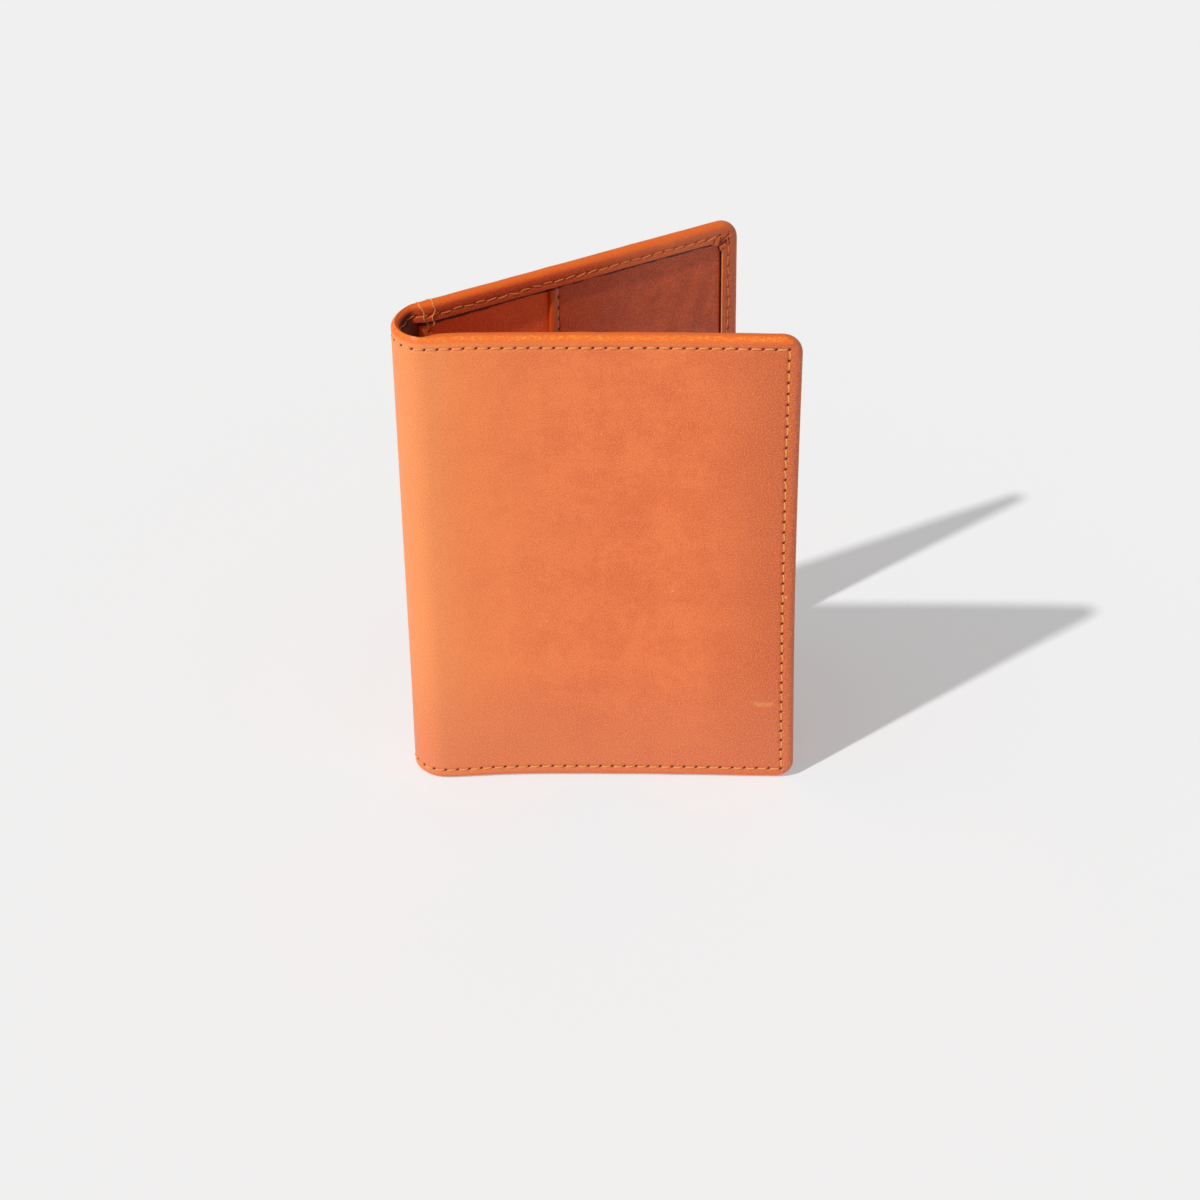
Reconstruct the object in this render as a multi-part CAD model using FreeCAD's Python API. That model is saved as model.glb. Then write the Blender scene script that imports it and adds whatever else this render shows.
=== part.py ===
"""Tall bifold leather wallet with turned edges, standing part open on its bottom edge.

Millimetres, +Z up.  The front panel's outer face looks along -Y, the fold is at -X, and the
origin is the middle of the footprint at the level of the bottom edge.  Each panel is built
flat in panel coordinates, where X runs from the end of the fold to the free edge and Y runs
inwards from the outer face, and is then placed on its side of the fold.
"""
import FreeCAD, Part
import math
import os

Vector = FreeCAD.Vector

# Driving dimensions of the whole wallet
HEIGHT = 140.0              # bottom edge to top edge
WIDTH = 103.0               # outside of the fold to the free edge of the front panel
FOLD_RADIUS = 9.0           # outside of the leather round the fold
OPEN_ANGLE = 30.0           # between the panels as the wallet stands
CORNER_RADIUS = 5.0         # free corners of each panel

# Outer cover: one hide, folded over a board on three sides of each panel
COVER_LEATHER = 0.9
BORDER_WIDTH = 5.0          # from the panel's edge to the cut edge of the turned-in leather
EDGE_ROUND = 1.6            # rounding of the rolled edge
CAVITY_ROUND = 0.9          # the same inside the roll
WINDOW_RADIUS = 1.0         # inner corners of the turned-in border

# Layers between the cover and its turned-in border
BOARD = 0.4
LINING = 0.15
HEM = 0.3                   # folded under a pocket's lip, and the room behind that pocket
POCKET_LEATHER = 0.45
TUCK = 2.1                  # from the panel's edge to the edge of every inner layer
LAYER_RADIUS = 3.0          # free corners of the inner layers
HEM_WIDTH = 5.0
LIP_ROUND = 0.3
SLIP_LIP = 1.2              # from the end of the fold to the slip pocket's lip
CARD_LIP = 38.0             # from the end of the fold to the card pocket's lip

# Strip of the cover and its lining round the fold
FOLD_LINING = 0.4
FOLD_ROUND = 0.9

# Seams: flat-bottomed stitches in a pressed groove
SEAM_INSET = 3.3            # from the panel's edge to the perimeter seam
STITCH_PITCH = 3.25
STITCH_WIDTH = 0.6
STITCH_HEIGHT = 0.3
STITCH_GAP = 0.8            # leather showing between two stitches
GROOVE_WIDTH = 0.9
GROOVE_DEPTH = 0.33
LIP_SEAM_INSET = 2.5        # from a pocket's lip to its seam
LIP_SEAM_CLEAR = 0.6        # from the border's cut edge to a lip seam's last stitch
LIP_GROOVE_DEPTH = 0.2
CURVE_CLEARANCE = 0.02      # between curved pieces that lie on each other round the fold

# Wraps of thread sunk into the rear panel's rolled edge at the slip pocket's lip
WRAP_THREAD = 0.5
WRAP_CLEARANCE = 0.05       # between a wrap and its notch
WRAP_STEPS = (1.8, 4.8)     # from the end of the fold

EPS = 1.0                   # how far a cutter runs past what it cuts

# Worked out from the values above
PANEL_THICKNESS = 2 * COVER_LEATHER + BOARD + LINING + 2 * (HEM + POCKET_LEATHER)
FOLD_THICKNESS = 2 * COVER_LEATHER + FOLD_LINING
PANEL_WIDTH = WIDTH - FOLD_RADIUS
BOARD_LEVEL = COVER_LEATHER
LINING_LEVEL = BOARD_LEVEL + BOARD
SLIP_LEVEL = LINING_LEVEL + LINING
CARD_LEVEL = SLIP_LEVEL + HEM + POCKET_LEATHER
BORDER_LEVEL = PANEL_THICKNESS - COVER_LEATHER


def box(x_range, y_range, z_range):
    """An upright box between three pairs of limits."""
    size = [high - low for low, high in (x_range, y_range, z_range)]
    return Part.makeBox(*size, Vector(x_range[0], y_range[0], z_range[0]))


def rounded_outline(x_range, z_range, radius):
    """A face in the XZ plane with its two corners at the free edge rounded."""
    (left, right), (low, high) = x_range, z_range
    slant = radius * (1 - math.sqrt(0.5))
    points = [
        Vector(left, 0, low),
        Vector(right - radius, 0, low),
        Vector(right - slant, 0, low + slant),
        Vector(right, 0, low + radius),
        Vector(right, 0, high - radius),
        Vector(right - slant, 0, high - slant),
        Vector(right - radius, 0, high),
        Vector(left, 0, high),
    ]
    edges = [
        Part.makeLine(points[0], points[1]),
        Part.Arc(points[1], points[2], points[3]).toShape(),
        Part.makeLine(points[3], points[4]),
        Part.Arc(points[4], points[5], points[6]).toShape(),
        Part.makeLine(points[6], points[7]),
        Part.makeLine(points[7], points[0]),
    ]
    return Part.Face(Part.Wire(edges))


def sheet(left, inset, radius, y_range):
    """A flat layer from left to the free edge, held back by inset on its other three sides."""
    outline = rounded_outline((left, PANEL_WIDTH - inset), (inset, HEIGHT - inset), radius)
    outline.translate(Vector(0, y_range[0], 0))
    return outline.extrude(Vector(0, y_range[1] - y_range[0], 0))


def round_rim(solid, left, radius):
    """Rounds both rims of a sheet on every side but its left end."""
    low, high = solid.BoundBox.YMin, solid.BoundBox.YMax

    def on_rim(edge):
        level = edge.BoundBox
        flat = level.YLength < 1e-6 and min(abs(level.YMin - low), abs(level.YMin - high)) < 1e-6
        return flat and level.XMax > left + 1e-6

    return solid.makeFillet(radius, [edge for edge in solid.Edges if on_rim(edge)])


def perimeter_legs():
    """Start point, direction and stitch count of the seam's three straight legs."""
    end = PANEL_WIDTH - SEAM_INSET
    low, high = SEAM_INSET, HEIGHT - SEAM_INSET
    across = round(end / STITCH_PITCH)
    upwards = round((high - low) / STITCH_PITCH)
    return [
        (Vector(0, 0, high), Vector(end, 0, 0), across),
        (Vector(end, 0, low), Vector(0, 0, high - low), upwards),
        (Vector(0, 0, low), Vector(end, 0, 0), across),
    ]


def groove_cutter(depth_range):
    """Box cutters that press the perimeter seam's groove into a face."""
    half = GROOVE_WIDTH / 2
    cutters = []
    for start, run, _ in perimeter_legs():
        end = start + run
        left = start.x - half if run.z else start.x - EPS
        cutters.append(box((left, end.x + half), depth_range, (start.z - half, end.z + half)))
    return cutters


def stitch(centre, along, outward, length):
    """One stitch: a half-round bar lying flat, with its round side outwards."""
    across = along.cross(outward)
    half, rise = STITCH_WIDTH / 2, STITCH_HEIGHT
    shoulder = 0.6
    profile = [(-1, 0), (1, 0), (1, shoulder / 2), (shoulder, 1), (-shoulder, 1), (-1, shoulder / 2)]
    base = centre - along * (length / 2)
    corners = [base + across * (half * a) + outward * (rise * b) for a, b in profile]
    face = Part.Face(Part.makePolygon(corners + corners[:1]))
    return face.extrude(along * length)


def stitch_row(start, run, count, outward):
    """Equal stitches that fill a straight seam from end to end."""
    pitch = run.Length / count
    along = Vector(run).normalize()
    centres = [start + along * (pitch * (i + 0.5)) for i in range(count)]
    return [stitch(centre, along, outward, pitch - STITCH_GAP) for centre in centres]


def panel_cover(notches=()):
    """The cover's hide on one panel: outer face, rolled edges and turned-in border."""
    hide = round_rim(sheet(0, 0, CORNER_RADIUS, (0, PANEL_THICKNESS)), 0, EDGE_ROUND)
    cavity = sheet(-EPS, COVER_LEATHER, CORNER_RADIUS - COVER_LEATHER, (COVER_LEATHER, BORDER_LEVEL))
    window = sheet(-EPS, BORDER_WIDTH, WINDOW_RADIUS, (COVER_LEATHER, PANEL_THICKNESS + EPS))
    outer_groove = groove_cutter((-EPS, GROOVE_DEPTH))
    inner_groove = groove_cutter((PANEL_THICKNESS - GROOVE_DEPTH, PANEL_THICKNESS + EPS))
    cutters = [round_rim(cavity, -EPS, CAVITY_ROUND), window, *outer_groove, *inner_groove, *notches]
    return hide.cut(cutters).removeSplitter()


def pocket(lip, level):
    """A pocket's leather with the hem folded under its lip."""
    face_level = level + HEM
    leather = sheet(lip, TUCK, LAYER_RADIUS, (face_level, face_level + POCKET_LEATHER))
    hem = box((lip, lip + HEM_WIDTH), (level, face_level), (TUCK, HEIGHT - TUCK))
    solid = leather.fuse(hem).removeSplitter()

    def on_lip(edge):
        return abs(edge.BoundBox.XMax - lip) < 1e-6 and edge.BoundBox.ZLength > HEIGHT / 2

    solid = solid.makeFillet(LIP_ROUND, [edge for edge in solid.Edges if on_lip(edge)])
    seam_x, half, top = lip + LIP_SEAM_INSET, GROOVE_WIDTH / 2, face_level + POCKET_LEATHER
    groove = box((seam_x - half, seam_x + half), (top - LIP_GROOVE_DEPTH, top + EPS), lip_seam_span(half))
    return solid.cut(groove)


def lip_seam_span(extra=0.0):
    """Height range of a pocket's lip seam, which stops short of the turned-in border."""
    inset = BORDER_WIDTH + LIP_SEAM_CLEAR - extra
    return inset, HEIGHT - inset


def lip_seam(lip, level):
    """The row of stitches beside a pocket's lip."""
    low, high = lip_seam_span()
    floor = level + HEM + POCKET_LEATHER - LIP_GROOVE_DEPTH
    count = round((high - low) / STITCH_PITCH)
    start = Vector(lip + LIP_SEAM_INSET, floor, low)
    return stitch_row(start, Vector(0, 0, high - low), count, Vector(0, 1, 0))


def perimeter_seam(level, outward):
    """The perimeter seam's stitches on one face of a panel."""
    stitches = []
    for start, run, count in perimeter_legs():
        stitches += stitch_row(start + Vector(0, level, 0), run, count, outward)
    return stitches


def panel_nodes(side, notches=()):
    """Every node of one panel, in panel coordinates."""
    layers = {
        "cover": [panel_cover(notches)],
        "board": [sheet(0, TUCK, LAYER_RADIUS, (BOARD_LEVEL, LINING_LEVEL))],
        "pocket_lining": [sheet(0, TUCK, LAYER_RADIUS, (LINING_LEVEL, SLIP_LEVEL))],
        "slip_pocket": [pocket(SLIP_LIP, SLIP_LEVEL)],
        "card_pocket": [pocket(CARD_LIP, CARD_LEVEL)],
        "outer_seam": perimeter_seam(GROOVE_DEPTH, Vector(0, -1, 0)),
        "inner_seam": perimeter_seam(PANEL_THICKNESS - GROOVE_DEPTH, Vector(0, 1, 0)),
        "slip_pocket_seam": lip_seam(SLIP_LIP, SLIP_LEVEL),
        "card_pocket_seam": lip_seam(CARD_LIP, CARD_LEVEL),
    }
    return {f"{side}_{name}": solids for name, solids in layers.items()}


def edge_core(position, half_width, depth):
    """The panel's rolled top edge across a narrow strip, shrunk by depth on its three sides."""
    floor = HEIGHT - SEAM_INSET + GROOVE_WIDTH / 2
    x_range = (position - half_width, position + half_width)
    core = box(x_range, (depth, PANEL_THICKNESS - depth), (floor, HEIGHT - depth))
    crosswise = [edge for edge in core.Edges if edge.BoundBox.XLength > half_width]
    rims = [edge for edge in crosswise if edge.BoundBox.ZMin > floor + EPS]
    return core.makeFillet(EDGE_ROUND - depth, rims)


def edge_wrap(position):
    """Thread bent over the rolled top edge, flush with the leather."""
    half = WRAP_THREAD / 2
    return edge_core(position, half, 0.0).cut(edge_core(position, half + EPS, WRAP_THREAD))


def wrap_notch(position):
    """What a wrap's notch takes out of the rolled top edge."""
    half, depth = WRAP_THREAD / 2 + WRAP_CLEARANCE, WRAP_THREAD + WRAP_CLEARANCE
    floor = HEIGHT - SEAM_INSET + GROOVE_WIDTH / 2
    block = box((position - half, position + half), (-EPS, PANEL_THICKNESS + EPS), (floor, HEIGHT + EPS))
    return block.cut(edge_core(position, half + EPS, depth))


def at_both_ends(make):
    """What is made at each wrap's place on the top edge, and the same on the bottom edge."""
    at_top = [make(step) for step in WRAP_STEPS]
    return at_top + [solid.mirror(Vector(0, 0, HEIGHT / 2), Vector(0, 0, 1)) for solid in at_top]


def fold_strip(radii, z_range):
    """A strip bent round the fold, from the front panel's end to the rear panel's."""
    (inner, outer), (low, high) = radii, z_range
    corners = [Vector(0, -r, z) for r, z in ((inner, low), (outer, low), (outer, high), (inner, high))]
    face = Part.Face(Part.makePolygon(corners + corners[:1]))
    return face.revolve(Vector(0, 0, 0), Vector(0, 0, 1), OPEN_ANGLE - 180)


def round_fold(solid, radius):
    """Rounds the curved rims at both ends of a strip's height."""
    level = [edge for edge in solid.Edges if edge.BoundBox.ZLength < 1e-6]
    return solid.makeFillet(radius, [edge for edge in level if edge.Curve.TypeId == "Part::GeomCircle"])


def fold_cover():
    """The cover's hide round the fold, with its top and bottom edges turned in."""
    inside = FOLD_RADIUS - FOLD_THICKNESS
    hide = round_fold(fold_strip((inside, FOLD_RADIUS), (0, HEIGHT)), FOLD_ROUND)
    cavity = fold_strip(
        (inside + COVER_LEATHER, FOLD_RADIUS - COVER_LEATHER), (COVER_LEATHER, HEIGHT - COVER_LEATHER)
    )
    window = fold_strip((inside - EPS, FOLD_RADIUS - COVER_LEATHER), (BORDER_WIDTH, HEIGHT - BORDER_WIDTH))
    half = GROOVE_WIDTH / 2
    grooves = []
    for level in (SEAM_INSET, HEIGHT - SEAM_INSET):
        z_range = (level - half, level + half)
        grooves.append(fold_strip((FOLD_RADIUS - GROOVE_DEPTH, FOLD_RADIUS + EPS), z_range))
        grooves.append(fold_strip((inside - EPS, inside + GROOVE_DEPTH), z_range))
    return hide.cut([cavity, window] + grooves)


def fold_seam(radii):
    """Curved stitches round the fold near its top and bottom edges."""
    arc = math.radians(180 - OPEN_ANGLE) * FOLD_RADIUS
    count = round(arc / STITCH_PITCH)
    step = (180 - OPEN_ANGLE) / count
    span = step * (1 - STITCH_GAP / STITCH_PITCH)
    stitches = []
    for level in (SEAM_INSET, HEIGHT - SEAM_INSET):
        corners = [
            Vector(0, -r, level + side * STITCH_WIDTH / 2)
            for r, side in ((radii[0], -1), (radii[1], -1), (radii[1], 1), (radii[0], 1))
        ]
        face = Part.Face(Part.makePolygon(corners + corners[:1]))
        for i in range(count):
            bar = face.revolve(Vector(0, 0, 0), Vector(0, 0, 1), -span)
            bar.rotate(Vector(0, 0, 0), Vector(0, 0, 1), -(step * (i + 0.5) - span / 2))
            stitches.append(bar)
    return stitches


def fold_nodes():
    """Every node of the fold, about the fold's own axis."""
    inside = FOLD_RADIUS - FOLD_THICKNESS
    outer_floor = FOLD_RADIUS - GROOVE_DEPTH + CURVE_CLEARANCE
    inner_floor = inside + GROOVE_DEPTH - CURVE_CLEARANCE
    lining_inner = inside + COVER_LEATHER + CURVE_CLEARANCE
    lining_outer = FOLD_RADIUS - COVER_LEATHER - CURVE_CLEARANCE
    return {
        "fold_cover": [fold_cover()],
        "fold_lining": [fold_strip((lining_inner, lining_outer), (TUCK, HEIGHT - TUCK))],
        "fold_outer_seam": fold_seam((outer_floor, outer_floor + STITCH_HEIGHT)),
        "fold_inner_seam": fold_seam((inner_floor - STITCH_HEIGHT, inner_floor)),
    }


def footprint_centre():
    """Middle of the standing wallet's footprint, from the front panel's outer corner of the fold."""
    angle = math.radians(OPEN_ANGLE)
    reach = FOLD_RADIUS * (1 + math.cos(angle))
    roll = (PANEL_WIDTH - EDGE_ROUND) * math.sin(angle) - EDGE_ROUND * math.cos(angle) + EDGE_ROUND
    return Vector(WIDTH / 2, (reach + roll) / 2, 0)


def place_front(solid):
    """Panel coordinates to the wallet's frame, on the front side."""
    placed = solid.copy()
    placed.translate(Vector(FOLD_RADIUS, 0, 0) - footprint_centre())
    return placed


def place_rear(solid):
    """Panel coordinates to the wallet's frame, mirrored across the fold and swung open."""
    placed = solid.mirror(Vector(0, FOLD_RADIUS, 0), Vector(0, 1, 0))
    placed.rotate(Vector(0, FOLD_RADIUS, 0), Vector(0, 0, 1), OPEN_ANGLE)
    placed.translate(Vector(FOLD_RADIUS, 0, 0) - footprint_centre())
    return placed


def place_fold(solid):
    """Fold coordinates to the wallet's frame."""
    placed = solid.copy()
    placed.translate(Vector(FOLD_RADIUS, FOLD_RADIUS, 0) - footprint_centre())
    return placed


def wallet_nodes():
    """Every node of the wallet by name, as lists of placed solids."""
    nodes = {}
    for name, solids in panel_nodes("front").items():
        nodes[name] = [place_front(solid) for solid in solids]
    for name, solids in panel_nodes("rear", at_both_ends(wrap_notch)).items():
        nodes[name] = [place_rear(solid) for solid in solids]
    nodes["rear_edge_wraps"] = [place_rear(wrap) for wrap in at_both_ends(edge_wrap)]
    for name, solids in fold_nodes().items():
        nodes[name] = [place_fold(solid) for solid in solids]
    return nodes


def main():
    os.makedirs("parts", exist_ok=True)
    for name, solids in wallet_nodes().items():
        shape = solids[0] if len(solids) == 1 else Part.makeCompound(solids)
        shape.exportStep(f"parts/{name}.step")
        print(name, len(solids), "solids", round(sum(solid.Volume for solid in solids), 2), "mm3")


main()
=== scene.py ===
import math
import random

import bmesh
import bpy
from mathutils import Matrix, Vector, noise


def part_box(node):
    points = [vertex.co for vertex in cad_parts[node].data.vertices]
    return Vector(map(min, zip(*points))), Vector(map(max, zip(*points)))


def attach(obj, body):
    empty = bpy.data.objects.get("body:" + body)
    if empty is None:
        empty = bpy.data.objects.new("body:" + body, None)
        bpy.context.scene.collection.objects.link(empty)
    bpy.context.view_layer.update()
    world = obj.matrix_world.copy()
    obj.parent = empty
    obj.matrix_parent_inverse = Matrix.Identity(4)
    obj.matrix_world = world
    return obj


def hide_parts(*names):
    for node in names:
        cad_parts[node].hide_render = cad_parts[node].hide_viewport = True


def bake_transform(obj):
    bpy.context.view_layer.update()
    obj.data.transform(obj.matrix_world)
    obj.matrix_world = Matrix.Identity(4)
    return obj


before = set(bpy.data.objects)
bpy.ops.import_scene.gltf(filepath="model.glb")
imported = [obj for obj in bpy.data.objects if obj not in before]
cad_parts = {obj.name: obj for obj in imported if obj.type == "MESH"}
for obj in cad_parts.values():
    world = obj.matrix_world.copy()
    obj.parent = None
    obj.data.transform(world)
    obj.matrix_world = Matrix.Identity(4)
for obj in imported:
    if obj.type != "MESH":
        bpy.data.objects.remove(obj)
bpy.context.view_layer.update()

# Stage.  A pale paper floor, one lamp at the front left and halfway up, and light from all round.
# The floor's own glow is a little cooler in front of the wallet, which takes out the orange light
# that the leather throws on it.  None of this is part of the wallet.
MM = 0.001
FLOOR_SIZE = 4.0
FLOOR_GREY = (0.565, 0.565, 0.565, 1)
FLOOR_GLOW = 0.305
PLAIN_LIGHT = (1, 1, 1, 1)
COOL_LIGHT = (0.66, 1.02, 1.12, 1)
COOL_PATCH = {"Location": (0, 0.30, 0), "Scale": (8.5, 7.5, 7)}
COOL_END = {"From Min": -0.036, "From Max": -0.020, "To Min": 1.0, "To Max": 0.0}
LAMP_TRAVEL = math.radians(40.5)
LAMP_HEIGHT = math.radians(49.4)
LAMP_POWER = 2.7
LAMP_WIDTH = 0.03
SKY_LIGHT = {"From Min": 0.0, "From Max": 1.0, "To Min": 0.54, "To Max": 0.26}
CAMERA_PLACE = Vector((0.0290, -0.7535, 0.5821))
CAMERA_YAW = math.radians(-2.274)
CAMERA_PITCH = math.radians(35.87)
CAMERA_ROLL = math.radians(-1.021)
CAMERA_LENS = 101.86


def add(tree, kind, inputs=None, **settings):
    """Adds a node, sets its settings, and gives each input a value or a link."""
    made = tree.nodes.new(kind)
    for name, value in settings.items():
        setattr(made, name, value)
    for name, value in (inputs or {}).items():
        socket = made.inputs[name]
        if isinstance(value, bpy.types.NodeSocket):
            tree.links.new(value, socket)
        else:
            socket.default_value = value
    return made


floor = bpy.data.objects.new("floor", bpy.data.meshes.new("floor"))
bm = bmesh.new()
bmesh.ops.create_grid(bm, x_segments=1, y_segments=1, size=FLOOR_SIZE)
bm.to_mesh(floor.data)
bm.free()
bpy.context.scene.collection.objects.link(floor)

paper = bpy.data.materials.new("floor_paper")
paper.use_nodes = True
paper_tree = paper.node_tree
paper_shader = paper_tree.nodes["Principled BSDF"]
paper_shader.inputs["Base Color"].default_value = FLOOR_GREY
paper_shader.inputs["Emission Strength"].default_value = FLOOR_GLOW
paper_shader.inputs["Roughness"].default_value = 1.0
paper_shader.inputs["Specular IOR Level"].default_value = 0.0
on_floor = add(paper_tree, "ShaderNodeTexCoord").outputs["Object"]
floor_depth = add(paper_tree, "ShaderNodeSeparateXYZ", {"Vector": on_floor}).outputs["Y"]
in_front = add(paper_tree, "ShaderNodeMapRange", {"Value": floor_depth, **COOL_END}).outputs["Result"]
centred = add(paper_tree, "ShaderNodeMapping", {"Vector": on_floor, **COOL_PATCH}).outputs["Vector"]
in_patch = add(paper_tree, "ShaderNodeTexGradient", {"Vector": centred}, gradient_type="QUADRATIC_SPHERE")
shares = {0: in_patch.outputs["Fac"], 1: in_front}
cool_share = add(paper_tree, "ShaderNodeMath", shares, operation="MULTIPLY").outputs[0]
lights = {0: cool_share, 6: PLAIN_LIGHT, 7: COOL_LIGHT}
floor_light = add(paper_tree, "ShaderNodeMix", lights, data_type="RGBA").outputs[2]
paper_tree.links.new(floor_light, paper_shader.inputs["Emission Color"])
floor.data.materials.append(paper)

lamp = bpy.data.objects.new("lamp", bpy.data.lights.new("lamp", "SUN"))
lamp.data.energy = LAMP_POWER
lamp.data.angle = LAMP_WIDTH
travel = Vector((
    math.cos(LAMP_TRAVEL) * math.cos(LAMP_HEIGHT),
    math.sin(LAMP_TRAVEL) * math.cos(LAMP_HEIGHT),
    -math.sin(LAMP_HEIGHT),
))
lamp.rotation_euler = travel.to_track_quat("-Z", "Y").to_euler()
bpy.context.scene.collection.objects.link(lamp)

studio = bpy.data.worlds.new("studio")
studio.use_nodes = True
sky = studio.node_tree
direction = add(sky, "ShaderNodeTexCoord").outputs["Generated"]
upwards = add(sky, "ShaderNodeSeparateXYZ", {"Vector": direction}).outputs["Z"]
glow = add(sky, "ShaderNodeMapRange", {"Value": upwards, **SKY_LIGHT})
sky.nodes["Background"].inputs["Color"].default_value = PLAIN_LIGHT
sky.links.new(glow.outputs["Result"], sky.nodes["Background"].inputs["Strength"])
bpy.context.scene.world = studio
bpy.context.scene.view_settings.view_transform = "Standard"

camera = bpy.data.objects.new("camera", bpy.data.cameras.new("camera"))
camera.data.lens = CAMERA_LENS
camera.data.clip_end = 20
forward = Vector((
    math.sin(CAMERA_YAW) * math.cos(CAMERA_PITCH),
    math.cos(CAMERA_YAW) * math.cos(CAMERA_PITCH),
    -math.sin(CAMERA_PITCH),
))
level_right = Vector((math.cos(CAMERA_YAW), -math.sin(CAMERA_YAW), 0))
level_up = level_right.cross(forward)
right = level_right * math.cos(CAMERA_ROLL) + level_up * math.sin(CAMERA_ROLL)
upright = level_up * math.cos(CAMERA_ROLL) - level_right * math.sin(CAMERA_ROLL)
camera_turn = Matrix((right, upright, -forward)).transposed().to_4x4()
camera.matrix_world = Matrix.Translation(CAMERA_PLACE) @ camera_turn
bpy.context.scene.collection.objects.link(camera)
bpy.context.scene.camera = camera


# Hide.  One piece of orange-tan leather covers both panels and the fold.  Its edges are rolled
# over and turned in as a border.  It is made as two halves that meet along the back of the fold,
# each laid flat first: x runs from the end of the fold to the free edge, y inwards, z up, in mm.
front_low, front_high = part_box("front_cover")
fold_low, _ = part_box("fold_cover")
HEIGHT = round((front_high.z - front_low.z) / MM, 3)
PANEL_WIDTH = round((front_high.x - front_low.x) / MM, 3)
THICKNESS = round((front_high.y - front_low.y) / MM, 3)
FOLD_RADIUS = round((front_low.x - fold_low.x) / MM, 3)
FOLD_CENTRE = Vector((front_low.x / MM, front_low.y / MM + FOLD_RADIUS))
OPEN_ANGLE = math.radians(30)
HALF_FOLD = FOLD_RADIUS * (math.pi - OPEN_ANGLE) / 2
FOLD_THICKNESS = 2.2
LEATHER = 0.9
CORNER = 5.2
ROLL = 1.65
BORDER = 5.0
INSIDE = THICKNESS - LEATHER - 0.3
SEAM_INSET = 3.3
SEAM_END = PANEL_WIDTH - SEAM_INSET
STITCHES_ACROSS = 28
STITCHES_UP = 41
PITCH_ACROSS = SEAM_END / STITCHES_ACROSS
PITCH_UP = (HEIGHT - 2 * SEAM_INSET) / STITCHES_UP
PITCH_FOLD = HALF_FOLD / 3.5
SEAM_RINGS = (2.2, 2.6, 2.85, 3.08, SEAM_INSET, 3.52, 3.75, 4.1, 4.4, 4.7)

# How far the leather has settled with use, in mm.  REAR_FALL is in mm for each mm along.
PANEL_WAVES = 0.16
RIM_WAVES = 0.10
PANEL_BOW = 0.65
EDGE_FLARE = 0.6
FOLD_SAG = 0.4
FOOT_SINK = 0.45
FOOT_SPREAD = 1.1
REAR_RISE = 0.5
REAR_FALL = 0.0105


def ease(value, low, high):
    """0 below low, 1 above high, and a smooth rise between."""
    t = min(max((value - low) / (high - low), 0.0), 1.0)
    return t * t * (3 - 2 * t)


def on_panel(side, along, depth, level):
    """Where a point of a flat piece lies on the standing wallet, in metres."""
    # The fold is thinner than a panel, so the inner layers come out towards the hide there.
    buried = min(max((depth - LEATHER) / (THICKNESS - 2 * LEATHER), 0.0), 1.0)
    depth -= (THICKNESS - FOLD_THICKNESS) * (1 - ease(along, -1.5, 4.0)) * buried

    # The leather is nowhere quite flat, and its rolled edge nowhere quite straight.
    across = min(max(along / PANEL_WIDTH, 0.0), 1.0)
    flank = min(level, HEIGHT - level)
    rim = 1 - ease(min(flank, PANEL_WIDTH - along), 0.0, 4.0)
    seed = 3.0 if side == "front" else 11.0
    depth += PANEL_WAVES * noise.noise(Vector((along / 26, level / 26, seed))) * ease(along, 0, 12)
    depth += RIM_WAVES * rim * noise.noise(Vector((along / 7, level / 7, seed + 5)))
    drift = rim * (1 + noise.noise(Vector((along / 6, level / 6, seed + 9))))
    level += drift * (0.02 + 0.10 * math.sin(math.pi * across)) if level < HEIGHT / 2 else -0.09 * drift

    # The fold sags at its top and sinks at its foot, and the panels have bowed and flared.
    sag = 1 - (ease(along, -2, 14) if side == "front" else ease(along, -7, 0.5))
    level -= FOLD_SAG * sag * ease(level, 60, HEIGHT)
    level -= FOOT_SINK * min(level, ROLL) / ROLL * (1 - ease(along, 2, 16)) * (1 - ease(level, ROLL, 40))
    if side == "front":
        depth += PANEL_BOW * math.sin(math.pi * across)
        along += EDGE_FLARE * (1 - math.sin(math.pi * level / HEIGHT)) * across ** 4
    else:
        rise = REAR_RISE * min(1 + along / HALF_FOLD, 1.0) - REAR_FALL * max(along, 0.0)
        level *= 1 + rise / HEIGHT

    # The flat piece is wound round the fold, and the rear half is its mirror image.
    if along < 0:
        turn = -along / FOLD_RADIUS
        radius = FOLD_RADIUS - depth
        place = FOLD_CENTRE + radius * Vector((-math.sin(turn), -math.cos(turn)))
    else:
        place = FOLD_CENTRE + Vector((along, depth - FOLD_RADIUS))
    if side == "rear":
        axis = Vector((math.cos(OPEN_ANGLE / 2), math.sin(OPEN_ANGLE / 2)))
        offset = place - FOLD_CENTRE
        place = FOLD_CENTRE + 2 * offset.dot(axis) * axis - offset
    place.y -= FOOT_SPREAD * ease(FOLD_CENTRE.x + 30 - place.x, 0, 36) * (1 - ease(level, 0, 30))
    return Vector((place.x, place.y, level)) * MM


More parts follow.
